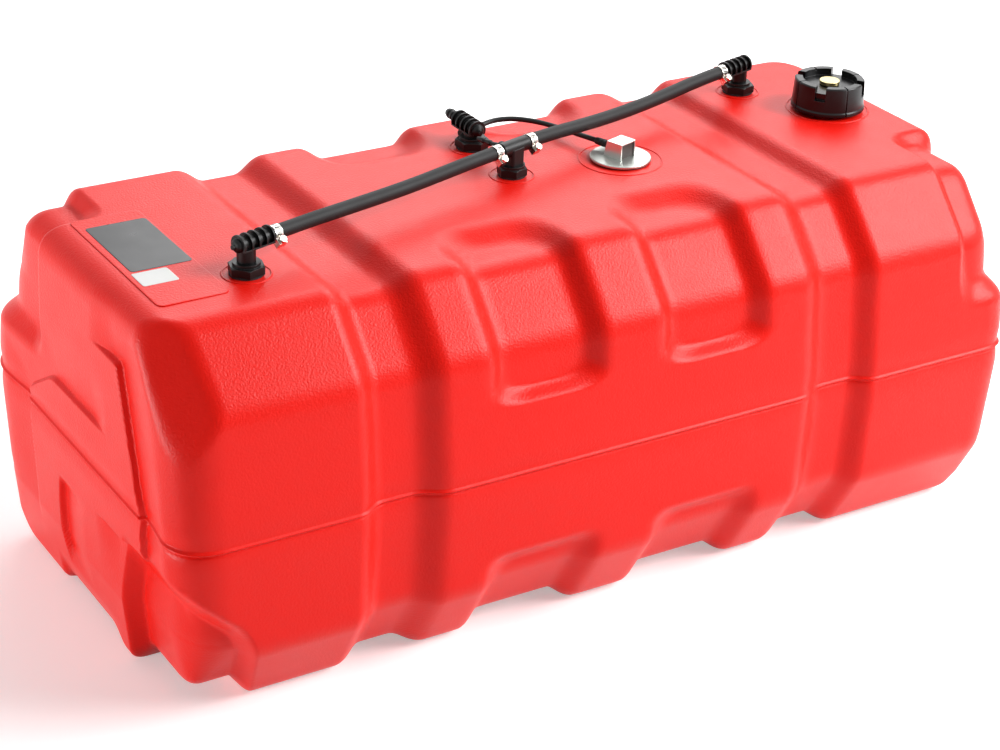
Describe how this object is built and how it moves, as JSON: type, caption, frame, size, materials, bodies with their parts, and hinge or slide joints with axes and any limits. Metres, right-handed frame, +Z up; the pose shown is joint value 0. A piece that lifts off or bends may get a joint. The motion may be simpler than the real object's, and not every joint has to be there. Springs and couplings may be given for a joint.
{
  "type": "outboard fuel tank",
  "caption": "Blow-moulded red fuel tank for outboard boats with strap channels, screw filler cap, vent lines with a tee, fuel pickup elbow and float level sender.",
  "frame": {"origin": "middle of the footprint, on the face that the tank stands on", "axes": "+X along the tank towards the filler cap, +Y across it towards the fuel pickup's outlet, +Z up"},
  "size_m": [0.922, 0.4546, 0.4135],
  "materials": {
    "tank_red": "semi-matt blow-moulded polyethylene",
    "cap_black": "satin moulded plastic",
    "liner_rubber": "matt rubber",
    "vent_brass": "satin brass",
    "washer_rubber": "matt rubber",
    "clamp_steel": "satin stainless steel",
    "inner_plastic": "natural acetal",
    "stainless_wire": "drawn",
    "fitting_black": "satin glass-filled nylon",
    "gasket_rubber": "matt rubber",
    "hose_rubber": "matt fuel hose",
    "sender_metal": "satin",
    "float_foam": "nitrile foam",
    "lead_black": "satin vinyl",
    "terminal_black": "matt"
  },
  "bodies": {
    "tank": {"clamp_screws": "clamp_steel", "dip_tube": "inner_plastic", "float_arm_clip": "stainless_wire", "gauge_body": "inner_plastic", "left_elbow_clamp": "clamp_steel", "left_tee_clamp": "clamp_steel", "left_vent_adapter": "fitting_black", "left_vent_elbow": "fitting_black", "left_vent_gasket": "gasket_rubber", "left_vent_hose": "hose_rubber", "pickup_adapter": "fitting_black", "pickup_gasket": "gasket_rubber", "pickup_strainer": "inner_plastic", "right_elbow_clamp": "clamp_steel", "right_tee_clamp": "clamp_steel", "right_vent_adapter": "fitting_black", "right_vent_elbow": "fitting_black", "right_vent_gasket": "gasket_rubber", "right_vent_hose": "hose_rubber", "sender_flange": "sender_metal", "sender_gasket": "gasket_rubber", "sender_hood": "sender_metal", "sender_lead": "lead_black", "sender_lead_boot": "lead_black", "sender_lead_plug": "lead_black", "sender_stem": "stainless_wire", "sender_terminal_block": "terminal_black", "tank_shell": "tank_red", "tee_adapter": "fitting_black", "tee_gasket": "gasket_rubber", "vent_tee": "fitting_black"},
    "cap_liner": {"cap_liner": "liner_rubber"},
    "filler_cap": {"filler_cap": "cap_black"},
    "vent_washer": {"vent_screw_washer": "washer_rubber"},
    "vent_screw": {"vent_screw": "vent_brass"},
    "pickup_elbow": {"pickup_elbow": "fitting_black"},
    "float": {"float_arm": "stainless_wire", "sender_float": "float_foam"}
  },
  "joints": [
    {"name": "cap_lift", "type": "slide", "parent": "tank", "child": "cap_liner", "axis": [0, 0, 1], "range_m": [0, 0.01201]},
    {"name": "cap_turn", "type": "hinge", "parent": "cap_liner", "child": "filler_cap", "pos_m": [0.386, 0.009, 0.395], "axis": [0, 0, 1], "range_deg": [0, 720]},
    {"name": "vent_screw_lift", "type": "slide", "parent": "filler_cap", "child": "vent_washer", "axis": [0, 0, 1], "range_m": [0, 0.00101]},
    {"name": "vent_screw_turn", "type": "hinge", "parent": "vent_washer", "child": "vent_screw", "pos_m": [0.386, 0.009, 0.4025], "axis": [0, 0, 1], "range_deg": [0, 360]},
    {"name": "pickup_swivel", "type": "hinge", "parent": "tank", "child": "pickup_elbow", "pos_m": [-0.003, 0.077, 0.38], "axis": [0, 0, 1], "range_deg": [-90, 90]},
    {"name": "float_swing", "type": "hinge", "parent": "tank", "child": "float", "pos_m": [0.112, -0.014, 0.19], "axis": [-0.309, 0.9511, 0], "range_deg": [0, 120]}
  ],
  "couplings": [
    {"joint": "cap_lift", "follows": "cap_turn", "m_per_rad": 0.00095493},
    {"joint": "vent_screw_lift", "follows": "vent_screw_turn", "m_per_rad": 0.00015915}
  ]
}
